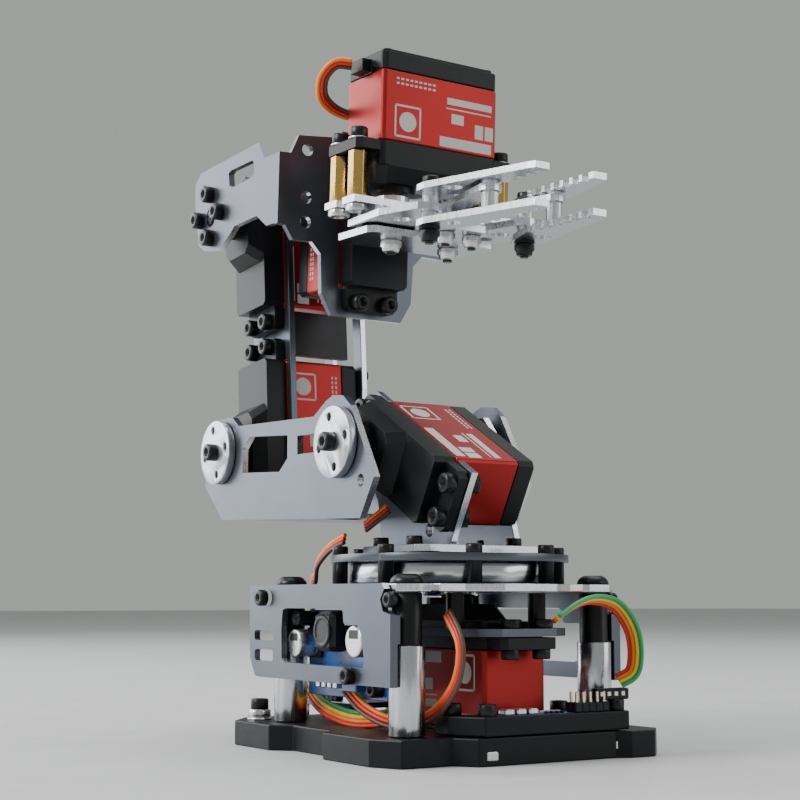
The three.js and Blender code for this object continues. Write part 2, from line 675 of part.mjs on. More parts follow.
const half = Math.PI / GEAR_TEETH;
const halfPi = Math.PI / 2;
for (const [tag, side] of [['near', -1], ['far', 1]]) {
  const pivot = [GRIP_X, side * GEAR_Y];
  const pin = [PIN[0], side * PIN[1]];
  const phase = side < 0 ? halfPi : -halfPi + half;
  const bulge = [
    [-16, side * 23.6], [3.1, side * 25], [17.5, side * 21.6], [19.2, side * 18.6], [15.5, side * 14],
    [-10, side * 11],
  ];
  let lever = join(
    gear(pivot[0], pivot[1], phase, ARM_Z[0], ARM_Z[1]),
    bar(pivot, pin, 3.4, ARM_Z[0], ARM_Z[1]),
    plateZ(side < 0 ? bulge : [...bulge].reverse(), [], ARM_Z[0], ARM_Z[1]),
  );
  lever = cut(lever, rodZ(2.5, side * 17, 2.8, ARM_Z[0] - 1, ARM_Z[1] + 1, 18));
  lever = cut(lever, rodZ(pin[0], pin[1], 2.5, ARM_Z[0] - 1, ARM_Z[1] + 1, 16));
  if (side < 0) {
    lever = lever.add(rodZ(pivot[0], pivot[1], 5, ARM_Z[1] - 0.5, PALM_Z + 4.5, 24));
    lever = cut(lever, rodZ(pivot[0], pivot[1], 3.2, GRIP_TOP - SV_SPLINE - 0.5, PALM_Z + 6, 18));
  } else {
    lever = cut(lever, rodZ(pivot[0], pivot[1], 2.3, ARM_Z[0] - 1, ARM_Z[1] + 1, 16));
  }
  put(`gear_lever_${tag}`, lever, 'bright', WRIST_TURN);

  const root = [FOLLOW[0], side * FOLLOW[1]];
  const tip = [root[0] + pin[0] - pivot[0], root[1] + pin[1] - pivot[1]];
  const follower = cut(
    bar(root, tip, 3.2, LINK_Z[0], LINK_Z[1]),
    rodZ(root[0], root[1], 1.9, LINK_Z[0] - 1, LINK_Z[1] + 1, 14),
    rodZ(tip[0], tip[1], 2.5, LINK_Z[0] - 1, LINK_Z[1] + 1, 16),
  );
  put(`follower_link_${tag}`, follower, 'bright', WRIST_TURN);

  // finger: two toothed plates on two posts
  const inner = side * 7.2;
  const outline = [];
  outline.push([pin[0] - 4.2, pin[1] - side * 1.5], [pin[0] - 3.6, pin[1] + side * 2.4]);
  outline.push([pin[0], pin[1] + side * 4.4], [19.5, side * 21], [54.5, side * 12.5], [56.8, side * 11.6]);
  outline.push([56.8, inner]);
  const TEETH = 7;
  for (let i = 0; i < TEETH; i += 1) {
    const x = 56 - i * 4;
    outline.push([x, inner], [x - 1.3, inner], [x - 1.8, inner + side * 1.7], [x - 3.5, inner + side * 1.7]);
  }
  outline.push([28.4, inner], [24, side * 9.2], [pin[0] + 1, side * 11.5]);
  const holes = [ring(25, side * 15.2, 2.6, 16)];
  const points = side < 0 ? outline : [...outline].reverse();
  const finger = join(
    plateZ(points, holes, PALM_Z, PALM_Z + 1.8),
    plateZ(points, holes, FINGER_Z[0], FINGER_Z[1]),
    rodZ(pin[0], pin[1], 2.2, FINGER_Z[0] + 1, PALM_Z + 1, 16),
    rodZ(tip[0], tip[1], 2.2, FINGER_Z[0] + 1, PALM_Z + 1, 16),
  );
  put(`finger_${tag}`, finger, 'bright', WRIST_TURN);
}

// ---- cables -------------------------------------------------------------
// route points, each cable a round bundle swept along a smooth curve
const CABLE_R = 1.3;
const routes = {
  shoulder_lead: [[-2, -19, 66.2], [-5, -21, 63.6], [-8.6, -22.4, 61.2]],
  shoulder_cable: [
    [-14.6, -25.4, 58.2], [-18, -25.8, 57.2], [-23, -25.6, 55.6], [-29.5, -25.5, 51.5], [-34, -23.5, 47.6],
    [-41, -20.5, 47.2], [-46.5, -18, 44.5], [-47, -17, 37], [-44, -17.3, 30], [-41, -17.7, 24],
    [-39.5, -17.8, 21.6],
  ],
  base_servo_cable: [
    [31, -22, 38], [36.3, -22, 31.3], [36.8, -22, 26.4], [34, -22.2, 19.4], [26.5, -23.6, 12.4],
    [20.5, -25.5, 10], [11.3, -27.4, 9.9], [1.3, -29.2, 13], [-6, -30, 17.7],
  ],
  sensor_cable_near: [
    [-42, -22.6, 19], [-33, -23, 12.5], [-20, -23.4, 9.5], [-6, -23.4, 9.2], [5, -21, 11.5], [8, -17.5, 20],
    [4, -16, 28],
  ],
  sensor_cable_far: [
    [40, 6, 36.4], [39.6, 13, 40], [38.6, 20, 41.4], [38, 28, 39.6], [38.4, 33, 33], [38.8, 33.6, 26],
    [38.6, 32.4, 22], [36.6, 29.5, 19.8],
  ],
  gripper_cable: [
    [-14.2, -24.8, 198.2], [-16, -29, 198], [-19.5, -31, 194.5], [-22.5, -29.5, 190], [-26, -23, 187.6],
    [-28, -14, 187.5], [-28, 0, 188.5],
  ],
};
for (const [name, points] of Object.entries(routes)) {
  const curve = new THREE.CatmullRomCurve3(points.map((p) => new THREE.Vector3(...p)), false, 'centripetal');
  const circle = polygonShape(ring(0, 0, CABLE_R, 6));
  const tube = new THREE.ExtrudeGeometry(circle, {
    steps: 3 * (points.length - 1),
    bevelEnabled: false,
    extrudePath: curve,
  });
  put(name, solidOf(tube), 'cable', name === 'gripper_cable' ? WRIST_TURN : null);
}

export default assembly;
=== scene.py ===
"""Looks for the desktop robot arm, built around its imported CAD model.

Lengths are written in millimetres, as in the CAD source, and turned into metres when meshes are made.
"""
import math

import bmesh
import bpy
from mathutils import Matrix, Vector


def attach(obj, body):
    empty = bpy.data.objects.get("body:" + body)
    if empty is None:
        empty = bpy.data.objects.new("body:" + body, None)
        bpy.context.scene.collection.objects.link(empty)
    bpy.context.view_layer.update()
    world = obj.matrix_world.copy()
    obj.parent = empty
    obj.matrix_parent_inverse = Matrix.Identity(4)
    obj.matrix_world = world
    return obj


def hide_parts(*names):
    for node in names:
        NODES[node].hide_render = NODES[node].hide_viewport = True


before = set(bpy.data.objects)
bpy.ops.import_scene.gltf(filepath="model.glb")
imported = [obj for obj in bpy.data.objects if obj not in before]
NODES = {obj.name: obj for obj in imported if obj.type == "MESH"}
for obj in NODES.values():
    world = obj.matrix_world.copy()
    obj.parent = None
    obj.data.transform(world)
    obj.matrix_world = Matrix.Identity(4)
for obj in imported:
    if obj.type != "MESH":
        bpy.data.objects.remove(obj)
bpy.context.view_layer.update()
MM = 0.001

# ---- places the looks share with the CAD model ---------------------------------------------------
DECK_TOP = 45.4
CLAMP_TOP = 53.5
PILLARS = [(-35.7, -30.5), (25.2, -30.5), (25.2, 30.5), (-35.7, 30.5)]
PLATE_TOP = 7.0
TRAY_TOP = 12.2
SERVO_PLATE_TOP = 33.9
PANEL_FACE = 37.4
SPACER_R = 30.8
SLEEVE_TOP = 29.8
LINK_FAR = 23.4
NEAR_FACE = -32.0
STUB_END = 25.4
SERVO_FOOT = 1.6
SHOULDER = (-11.0, 84.7)
ELBOW = (-84.5, 87.5)
WRIST = (-90.0, 165.0)
SHOULDER_TILT = 29.5
WRIST_PITCH = 2.5
CASE_Y = 22.7
CASE_TOP = 38.6
EAR_FOOT = 27.0
EAR_TOP = 30.0
EAR_REACH = 24.75
SHEET_STACK = 2.3
GAP = 0.3
FRONT_X = -43.5
ROLL_Z = 168.4
GRIP_X = -14.2
GRIP_TOP = 202.0
PALM_Z = 156.3
SOLE_Z = 148.4
LINK_TOP = 155.6
FINGER_LOW = 146.6
GEAR_Y = 10.0
PIN = (15.5, 16.2)
FOLLOW = (6.0, 4.5)

# the wrist and everything past it is pitched about the wrist axis
WRIST_TURN = (
    Matrix.Translation((WRIST[0], 0, WRIST[1]))
    @ Matrix.Rotation(math.radians(WRIST_PITCH), 4, "Y")
    @ Matrix.Translation((-WRIST[0], 0, -WRIST[1]))
)
STILL = Matrix.Identity(4)


def basis(u, v, w, origin):
    """Matrix whose columns are the directions u, v, w and the place origin."""
    m = Matrix.Identity(4)
    for column, vector in enumerate((u, v, w, origin)):
        for row in range(3):
            m[row][column] = vector[row]
    return m


tilt = math.radians(SHOULDER_TILT)
ALONG = (math.cos(tilt), -math.sin(tilt))
ACROSS = (math.sin(tilt), math.cos(tilt))
arm = Vector((WRIST[0] - ELBOW[0], WRIST[1] - ELBOW[1]))
ARM_LENGTH = arm.length
UP = tuple(arm.normalized())
SIDE = (UP[1], -UP[0])
CASE_FOOT = CASE_TOP - CASE_Y
ROLL_FOOT = FRONT_X + GAP - EAR_FOOT

# servo name: (frame of the servo, body it rides on)
SERVOS = {
    "base_servo": (basis((1, 0, 0), (0, 1, 0), (0, 0, 1), (0, 0, SERVO_FOOT)), "base"),
    "shoulder_servo": (
        basis(
            (ALONG[0], 0, ALONG[1]), (ACROSS[0], 0, ACROSS[1]), (0, -1, 0),
            (SHOULDER[0], CASE_FOOT, SHOULDER[1]),
        ),
        "turntable",
    ),
    "elbow_servo": (
        basis((UP[0], 0, UP[1]), (-SIDE[0], 0, -SIDE[1]), (0, -1, 0), (ELBOW[0], CASE_FOOT, ELBOW[1])),
        "upper_arm",
    ),
    "wrist_servo": (
        basis((-UP[0], 0, -UP[1]), (SIDE[0], 0, SIDE[1]), (0, -1, 0), (WRIST[0], CASE_FOOT, WRIST[1])),
        "upper_arm",
    ),
    "roll_servo": (WRIST_TURN @ basis((0, 0, -1), (0, 1, 0), (1, 0, 0), (ROLL_FOOT, 0, ROLL_Z)), "wrist"),
    "gripper_servo": (
        WRIST_TURN @ basis((0, 1, 0), (1, 0, 0), (0, 0, -1), (GRIP_X, -GEAR_Y, GRIP_TOP)),
        "palm",
    ),
}


# ---- materials -----------------------------------------------------------------------------------
def new_material(name):
    m = bpy.data.materials.new(name)
    m.use_nodes = True
    nodes = m.node_tree.nodes
    return m, nodes, m.node_tree.links, nodes["Principled BSDF"]


def noise(nodes, links, scale, detail=3.0, stretch=(1, 1, 1)):
    coords = nodes.new("ShaderNodeTexCoord")
    mapping = nodes.new("ShaderNodeMapping")
    mapping.inputs["Scale"].default_value = stretch
    texture = nodes.new("ShaderNodeTexNoise")
    texture.inputs["Scale"].default_value = scale
    texture.inputs["Detail"].default_value = detail
    links.new(coords.outputs["Object"], mapping.inputs["Vector"])
    links.new(mapping.outputs["Vector"], texture.inputs["Vector"])
    return texture.outputs["Fac"]


def ramp(nodes, links, source, stops):
    r = nodes.new("ShaderNodeValToRGB")
    elements = r.color_ramp.elements
    while len(elements) < len(stops):
        elements.new(0.5)
    for element, (place, colour) in zip(elements, stops):
        element.position = place
        element.color = (*colour, 1)
    links.new(source, r.inputs["Fac"])
    return r.outputs["Color"]


def grey(v):
    return (v, v, v)


def scaled(colour, factor):
    return tuple(min(1.0, c * factor) for c in colour)


def surface(
    name, colour, rough, metallic=0.0, grain=900.0, bump=0.06, spread=0.12,
    stretch=(1, 1, 1), coat=0.0, shine=0.5,
):
    """A finish with large soft patches in its colour, fine grain in its roughness, and a bump."""
    m, nodes, links, shader = new_material(name)
    patches = noise(nodes, links, 45.0, 4.0)
    fine = noise(nodes, links, grain, 2.0, stretch)
    tone = ramp(nodes, links, patches, [(0.3, scaled(colour, 1 - spread)), (0.7, scaled(colour, 1 + spread))])
    links.new(tone, shader.inputs["Base Color"])
    sheen = ramp(nodes, links, fine, [(0.25, grey(max(0.04, rough - 0.06))), (0.75, grey(rough + 0.08))])
    links.new(sheen, shader.inputs["Roughness"])
    shader.inputs["Metallic"].default_value = metallic
    shader.inputs["Coat Weight"].default_value = coat
    shader.inputs["Specular IOR Level"].default_value = shine
    shader.inputs["Coat Roughness"].default_value = 0.2
    b = nodes.new("ShaderNodeBump")
    b.inputs["Strength"].default_value = bump
    b.inputs["Distance"].default_value = 0.00003
    links.new(fine, b.inputs["Height"])
    links.new(b.outputs["Normal"], shader.inputs["Normal"])
    return m


BLACK = surface("moulded_black", (0.006, 0.0065, 0.008), 0.38, grain=2600, bump=0.12, spread=0.2, shine=0.24)
BASE_BLACK = surface("base_black", (0.005, 0.0055, 0.007), 0.40, grain=1500, bump=0.05, spread=0.2, shine=0.2)
RED = surface("red_anodised", (0.33, 0.010, 0.010), 0.34, 0.6, grain=3200, bump=0.10, spread=0.08)
SHEET = surface("blasted_sheet", (0.105, 0.117, 0.142), 0.34, 0.9, grain=3000, bump=0.10, spread=0.06)
EDGE = surface(
    "cut_edge", (0.72, 0.73, 0.76), 0.28, 1.0, grain=500, bump=0.15, spread=0.05, stretch=(6, 6, 1),
)
TURNED = surface(
    "turned_metal", (0.58, 0.59, 0.62), 0.22, 1.0, grain=2600, bump=0.03, spread=0.02, stretch=(1, 1, 0.1),
)
STEEL = surface(
    "ground_steel", (0.62, 0.63, 0.65), 0.18, 1.0, grain=2600, bump=0.03, spread=0.02, stretch=(0.1, 0.1, 1),
)
HORN = surface("horn_metal", (0.56, 0.58, 0.62), 0.32, 1.0, grain=900, bump=0.08, spread=0.06)
BRIGHT = surface("bright_sheet", (0.50, 0.52, 0.56), 0.20, 1.0, grain=2400, bump=0.03, spread=0.03)
BRASS = surface("brass", (0.66, 0.43, 0.13), 0.24, 1.0, grain=500, bump=0.05, spread=0.08)
OXIDE = surface("black_oxide", (0.014, 0.014, 0.016), 0.34, 0.55, grain=2200, bump=0.06, spread=0.25)
ZINC = surface("zinc_plate", (0.62, 0.62, 0.61), 0.3, 1.0, grain=900, bump=0.05, spread=0.08)
PRINT = surface("label_print", (0.58, 0.56, 0.54), 0.5, 0.0, grain=2600, bump=0.02, spread=0.05)
BOARD = surface("solder_mask", (0.012, 0.075, 0.26), 0.3, 0.0, grain=380, bump=0.35, spread=0.35, coat=0.3)
WHITE = surface("nylon_insert", (0.55, 0.55, 0.53), 0.5, 0.0, spread=0.05)
COPPER = surface("tinned_pins", (0.72, 0.66, 0.50), 0.28, 1.0, spread=0.08)
WIRES = {
    "brown": surface("wire_brown", (0.09, 0.035, 0.02), 0.48, spread=0.1),
    "red": surface("wire_red", (0.62, 0.02, 0.012), 0.45, spread=0.1),
    "orange": surface("wire_orange", (0.85, 0.20, 0.015), 0.45, spread=0.1),
    "yellow": surface("wire_yellow", (0.83, 0.58, 0.04), 0.45, spread=0.1),
    "green": surface("wire_green", (0.02, 0.33, 0.10), 0.45, spread=0.1),
}


def finish_node(name, materials, pick=None, bevel=0.22, angle=38.0, smooth=True):
    """Gives a CAD node its materials and softened edges.

    pick chooses a material for each face. smooth is for nodes with curved walls; flat sheet goes without.
    """
    obj = NODES[name]
    mesh = obj.data
    mesh.materials.clear()
    for m in materials:
        mesh.materials.append(m)
    for polygon in mesh.polygons:
        polygon.use_smooth = smooth
        polygon.material_index = pick(polygon) if pick else 0
    weld = obj.modifiers.new("weld", "WELD")
    weld.merge_threshold = 0.000005
    flat = obj.modifiers.new("flat", "DECIMATE")
    flat.decimate_type = "DISSOLVE"
    flat.angle_limit = math.radians(0.4)
    flat.delimit = {"MATERIAL"}
    soft = obj.modifiers.new("edge", "BEVEL")
    soft.width = bevel * MM
    soft.segments = 2
    soft.limit_method = "ANGLE"
    soft.angle_limit = math.radians(angle)
    soft.harden_normals = smooth
    return obj


# ---- mesh building -------------------------------------------------------------------------------
class Piece:
    """Collects shapes in millimetres into one mesh object with several materials."""

    def __init__(self, name, body, slot, turn=STILL):
        self.name = name
        self.body = body
        self.slot = slot
        self.turn = turn
        self.mesh = bmesh.new()
        self.materials = []

    def slot_of(self, material):
        if material not in self.materials:
            self.materials.append(material)
        return self.materials.index(material)

    def loops(self, rings, material, place=STILL, smooth=True):
        """Skins a list of rings, each a list of points, and caps both ends."""
        index = self.slot_of(material)
        skin = []
        for points in rings:
            skin.append([self.mesh.verts.new(place @ Vector(p)) for p in points])
        for a, b in zip(skin, skin[1:]):
            for i in range(len(a)):
                j = (i + 1) % len(a)
                face = self.mesh.faces.new((a[i], a[j], b[j], b[i]))
                face.material_index = index
                face.smooth = smooth
        for end in (list(reversed(skin[0])), skin[-1]):
            face = self.mesh.faces.new(end)
            face.material_index = index
            face.smooth = False

    def turned(self, profile, material, place=STILL, n=24):
        """Solid of revolution about local Z. A radius may be a function of the angle."""
        rings = []
        for radius, z in profile:
            ring = []
            for i in range(n):
                a = 2 * math.pi * i / n
                r = radius(a) if callable(radius) else radius
                ring.append((r * math.cos(a), r * math.sin(a), z))
            rings.append(ring)
        self.loops(rings, material, place)

    def block(self, low, high, material, place=STILL, chamfer=0.15):
        (x0, y0, z0), (x1, y1, z1) = low, high
        c = min(chamfer, (x1 - x0) / 3, (y1 - y0) / 3, (z1 - z0) / 3)
        rings = []
        for inset, z in ((c, z0), (0, z0 + c), (0, z1 - c), (c, z1)):
            a, b, e, f = x0 + inset, x1 - inset, y0 + inset, y1 - inset
            rings.append([
                (a + c, e, z), (b - c, e, z), (b, e + c, z), (b, f - c, z),
                (b - c, f, z), (a + c, f, z), (a, f - c, z), (a, e + c, z),
            ])
        self.loops(rings, material, place, smooth=False)

    def done(self, replaces=()):
        self.mesh.transform(Matrix.Scale(MM, 4) @ self.turn)
        bmesh.ops.recalc_face_normals(self.mesh, faces=self.mesh.faces)
        data = bpy.data.meshes.new(self.name)
        self.mesh.to_mesh(data)
        self.mesh.free()
        for m in self.materials:
            data.materials.append(m)
        obj = bpy.data.objects.new(self.name, data)
        bpy.context.scene.collection.objects.link(obj)
        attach(obj, self.body)
        if replaces:
            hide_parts(*replaces)
        return obj


def facing(place, direction):
    """Matrix that puts local Z along direction, at place."""
    turn = Vector(direction).to_track_quat("Z", "Y").to_matrix().to_4x4()
    return Matrix.Translation(place) @ turn


def hexagon(flats):
    """Radius of a hexagon with that width across flats, as a function of the angle."""
    def radius(a):
        part = (a % (math.pi / 3)) - math.pi / 6
        return flats / 2 / math.cos(part)
    return radius


def cap_screw(piece, place, direction, r=2.7, h=3.0, material=None):
    """Socket cap screw head standing on place and pointing along direction."""
    m = material or OXIDE
    key = hexagon(r * 0.92)
    profile = [
        (r * 0.96, 0), (r, 0.15), (r, h - 0.35), (r * 0.9, h), (r * 0.58, h),
        (key, h - 0.05), (key, h * 0.45),
    ]
    piece.turned(profile, m, facing(place, direction), 24)


def button_screw(piece, place, direction, r=4.4, h=2.5):
    key = hexagon(r * 0.58)
    profile = [
        (r * 0.97, 0), (r, 0.3), (r * 0.93, h * 0.5), (r * 0.78, h * 0.8), (r * 0.56, h),
        (r * 0.42, h), (key, h - 0.06), (key, h * 0.4),
    ]
    piece.turned(profile, OXIDE, facing(place, direction), 30)


def nut(piece, place, direction, flats=5.4, h=2.4, bore=1.5, material=None, insert=False):
    m = material or OXIDE
    at = facing(place, direction)
    wall = hexagon(flats)
    body = [(flats / 2 * 0.97, 0), (wall, 0.35), (wall, h - 0.35), (flats / 2 * 0.97, h)]
    if insert:
        collar = [(flats / 2 * 0.9, h + 1.0), (flats / 2 * 0.78, h + 1.3), (bore, h + 1.3), (bore, h + 0.4)]
        body += collar
        piece.turned([(bore * 0.98, h * 0.8), (bore * 0.98, h + 1.9)], OXIDE, at, 16)
    else:
        body += [(bore, h), (bore, h - 0.5)]
    piece.turned(body, m, at, 24)


def washer(piece, place, direction, r=3.4, bore=1.6, h=0.5, material=None):
    at = facing(place, direction)
    piece.turned([(r * 0.98, 0), (r, 0.1), (r, h - 0.1), (r * 0.96, h), (bore, h)], material or ZINC, at, 28)


# ---- CAD nodes -----------------------------------------------------------------------------------
def edge_by_normal(axes):
    """Picks the cut-edge material for faces whose normal isn't along the sheet's own normal."""
    def pick(polygon):
        n = polygon.normal
        return 0 if max(abs(n[a]) for a in axes) > 0.8 else 1
    return pick


for name, axes in {
    "lower_link": (1, 2), "side_panel_near": (0, 1), "side_panel_far": (0, 1), "top_deck": (2,),
    "wrist_bracket": (0, 1), "shoulder_bracket": (1, 2), "upper_arm_spine": (1,),
}.items():
    finish_node(name, [SHEET, EDGE], edge_by_normal(axes), bevel=0.25, smooth=False)

for name in ("palm_frame", "gear_lever_near", "gear_lever_far", "follower_link_near", "follower_link_far",
             "finger_near", "finger_far"):
    finish_node(name, [BRIGHT, EDGE], edge_by_normal((2,)), bevel=0.18, smooth=False)


def web_painted_shade(polygon):
    """Black oxide on the front of the upper arm's cross web is painted shade, standing for the shadow between
    its plates.
    """
    if polygon.normal.x > 0.8 and polygon.center.y > -8 * MM:
        return 2
    return edge_by_normal((0, 1))(polygon)


# the cross web's black front is painted shade
finish_node("upper_arm_frame", [SHEET, EDGE, OXIDE], web_painted_shade, bevel=0.25, smooth=False)

for name in ("shoulder_horn", "elbow_horn", "wrist_horn", "roll_horn"):
    finish_node(name, [HORN], bevel=0.3)

finish_node("bearing_outer_race", [STEEL], bevel=0.5)
finish_node("turntable_rotor", [STEEL], bevel=0.5)
finish_node("base_plate", [BASE_BLACK], bevel=0.6, smooth=False)
finish_node("front_tray", [BASE_BLACK], bevel=0.4, smooth=False)


def above(limit):
    """Picks the second material for faces higher than limit."""
    return lambda polygon: 1 if polygon.center.z > limit * MM else 0


for tag in ("rear_near", "front_near", "front_far", "rear_far"):
    finish_node(f"pillar_{tag}", [TURNED, OXIDE], above(SLEEVE_TOP - 0.05), bevel=0.35)
for tag in ("near_rear", "near_front", "far_rear", "far_front"):
    finish_node(f"standoff_{tag}", [BRASS], bevel=0.25)
finish_node("servo_plate", [SHEET, OXIDE], above(SERVO_PLATE_TOP + 0.05), bevel=0.2, smooth=False)
finish_node("clamp_ring", [OXIDE, SHEET], above(CLAMP_TOP - 2.3), bevel=0.25)


def spline_faces(place):
    """Picks brass for the faces of the output spline."""
    back = (Matrix.Scale(MM, 4) @ place).inverted()

    def pick(polygon):
        local = back @ polygon.center
        return 1 if local.z > 40.45 and math.hypot(local.x, local.y) < 3.2 else 0
    return pick


for name, (place, body) in SERVOS.items():
    finish_node(f"{name}_cover", [BLACK], bevel=0.5, smooth=False)
    finish_node(f"{name}_mid_case", [RED], bevel=0.35, smooth=False)
    finish_node(f"{name}_gear_case", [BLACK, BRASS], spline_faces(place), bevel=0.45, smooth=False)


# ---- servo details: generic printed blocks, case screws ------------------------------------------
def frame_marks(piece, u0, u1, w0, w1, line, place):
    """An empty printed frame."""
    for low, high in (
        ((u0, w0), (u1, w0 + line)), ((u0, w1 - line), (u1, w1)),
        ((u0, w0), (u0 + line, w1)), ((u1 - line, w0), (u1, w1)),
    ):
        piece.block((low[0], low[1], 0), (high[0], high[1], 0.05), PRINT, place, 0.01)


# printed blocks beside the frame: along the case from, to, up the case from, to
LABEL_BARS = [
    (-18.0, 0.4, 23.0, 26.0), (-18.6, -15.6, 17.8, 22.0), (-15.0, -12.0, 17.8, 22.0),
    (-8.0, -3.6, 15.8, 18.8), (-17.7, -1.7, 14.2, 14.6), (-18.0, -2.0, 11.2, 13.2),
]


def servo_details(name, place, body):
    piece = Piece(f"{name}_details", body, "black_plastic", place)
    for side in (-1, 1):
        # face frame: x along the case, y up from the cover, z outwards
        face = basis((side, 0, 0), (0, 0, 1), (0, -side, 0), (10, -side * 10.0, 0))
        frame_marks(piece, 7.0, 16.0, 16.0, 25.6, 0.6, face)
        piece.turned([(2.9, 0), (2.9, 0.05)], PRINT, face @ Matrix.Translation((11.5, 20.8, 0)), 28)
        for u0, u1, w0, w1 in LABEL_BARS:
            piece.block((u0, w0, 0), (u1, w1, 0.05), PRINT, face, 0.01)
        for k in range(2):
            for i in range(9):
                low = (2.2 + i * 1.55, 8.2 + k * 1.4, 0)
                piece.block(low, (low[0] + 1.0, low[1] + 0.6, 0.05), PRINT, face, 0.01)
    for u in (-7.4, 27.4):
        for v in (-7.4, 7.4):
            at = Matrix.Translation((u, v, 0)) @ Matrix.Rotation(math.pi, 4, "X")
            piece.turned([(1.6, -0.3), (1.7, -0.05), (1.5, 0.12), (0.9, 0.15), (0.8, -0.4)], OXIDE, at, 16)
    return piece.done()


for name, (place, body) in SERVOS.items():
    servo_details(name, place, body)


# ---- fasteners -----------------------------------------------------------------------------------
EAR_U = (-14.75, 34.75)
EAR_V = (-5.0, 5.0)


def ear_screws(piece, place):
    """Cap screws through the four ear holes of a servo, with nuts behind the sheet that holds it."""
    up = place.to_3x3() @ Vector((0, 0, 1))
    for u in EAR_U:
        for v in EAR_V:
            cap_screw(piece, place @ Vector((u, v, EAR_TOP)), up)
            nut(piece, place @ Vector((u, v, EAR_FOOT - SHEET_STACK)), -up)


base = Piece("base_screws", "base", "black_plastic")
for x, y in PILLARS:
    button_screw(base, (x, y, DECK_TOP), (0, 0, 1))
for i in range(8):
    a = (i + 0.5) * math.pi / 4
    cap_screw(base, (SPACER_R * math.cos(a), SPACER_R * math.sin(a), CLAMP_TOP), (0, 0, 1), 2.2, 2.4)
for u in EAR_U:
    for v in EAR_V:
        cap_screw(base, (u, v, SERVO_FOOT + EAR_FOOT), (0, 0, -1), 2.4, 2.6)
        nut(base, (u, v, SERVO_PLATE_TOP), (0, 0, 1))
for side in (-1, 1):
    for x, z in ((9.0, 21.8), (-39, 41.9)):
        cap_screw(base, (x, side * PANEL_FACE, z), (0, side, 0), 2.3, 2.4)
    cap_screw(base, (26.0, side * 34.9, 41.3), (0, side, 0), 2.0, 2.4)
for x, y in ((27.5, -18.2), (36.3, -13.5), (36.0, 28.6)):
    cap_screw(base, (x, y, TRAY_TOP), (0, 0, 1), 2.4, 3.0)
for y, z in ((-13.9, 2.5), (27.8, 3.4)):
    base.block((38.6, y - 1.7, z - 1.1), (39.25, y + 1.7, z + 1.1), ZINC, chamfer=0.2)
for x, y in ((-49, -33.5), (-49, 33.5), (5, 34)):
    washer(base, (x, y, PLATE_TOP), (0, 0, 1), 3.6)
    nut(base, (x, y, PLATE_TOP + 0.5), (0, 0, 1), 5.6, 2.4, material=ZINC)
    cap_screw(base, (x, y, PLATE_TOP + 2.9), (0, 0, 1), 2.6, 3.0)
base.done()

table = Piece("turntable_screws", "turntable", "black_plastic")
for x, y in ((-8, -17.6), (9, -17.6), (-8, 17.6), (9, 15.6)):
    cap_screw(table, (x, y, 56.0), (0, 0, 1), 2.2, 2.4)
ear_screws(table, SERVOS["shoulder_servo"][0])
cap_screw(table, (SHOULDER[0], STUB_END, SHOULDER[1]), (0, 1, 0), 2.5, 2.5)
table.done()


def horn_face_screw(piece, axis):
    cap_screw(piece, (axis[0], NEAR_FACE, axis[1]), (0, -1, 0), 2.7, 3.0)


# radius and height pairs of the disc on the far side of each joint
IDLER_DISC = [
    (8.4, 0), (8.5, 0.2), (8.5, 0.9), (8.3, 1.1), (5.6, 1.1), (5.4, 1.9), (3.3, 1.9), (3.3, 0.4),
]

lower = Piece("lower_arm_screws", "lower_arm", "black_plastic")
for axis in (SHOULDER, ELBOW):
    horn_face_screw(lower, axis)
    at = facing((axis[0], LINK_FAR, axis[1]), (0, 1, 0))
    lower.turned(IDLER_DISC, HORN, at, 40)
    for i in range(4):
        a = math.pi / 4 + i * math.pi / 2
        spot = (axis[0] + 6.9 * math.cos(a), LINK_FAR + 1.1, axis[1] + 6.9 * math.sin(a))
        cap_screw(lower, spot, (0, 1, 0), 1.1, 0.9)
lower.done()

upper = Piece("upper_arm_screws", "upper_arm", "black_plastic")
for name in ("elbow_servo", "wrist_servo"):
    ear_screws(upper, SERVOS[name][0])
for axis, y in ((ELBOW, STUB_END), (WRIST, 34.0)):
    cap_screw(upper, (axis[0], y, axis[1]), (0, 1, 0), 2.5, 2.5)
for u in (15.0, 27.0, ARM_LENGTH - 27.0, ARM_LENGTH - 15.0):
    for v in (-8.6, 8.6):
        spot = (ELBOW[0] + u * UP[0] + v * SIDE[0], 18.2, ELBOW[1] + u * UP[1] + v * SIDE[1])
        cap_screw(upper, spot, (0, 1, 0), 1.9, 1.6)
upper.done()

wrist = Piece("wrist_screws", "wrist", "black_plastic", WRIST_TURN)
for i in range(4):
    a = i * math.pi / 2 + 0.05
    spot = (WRIST[0] + 7.2 * math.cos(a), NEAR_FACE, WRIST[1] + 7.2 * math.sin(a))
    cap_screw(wrist, spot, (0, -1, 0))
cap_screw(wrist, (WRIST[0], -30.6, WRIST[1]), (0, -1, 0), 2.4, 1.6)
at = facing((WRIST[0], 32.0, WRIST[1]), (0, 1, 0))
wrist.turned(IDLER_DISC, HORN, at, 40)
for y in EAR_V:
    for u in EAR_U:
        spot = Vector((ROLL_FOOT + EAR_TOP, y, ROLL_Z - u))
        cap_screw(wrist, spot, (1, 0, 0))
        nut(wrist, (FRONT_X - 2.0, y, ROLL_Z - u), (-1, 0, 0))
wrist.done()

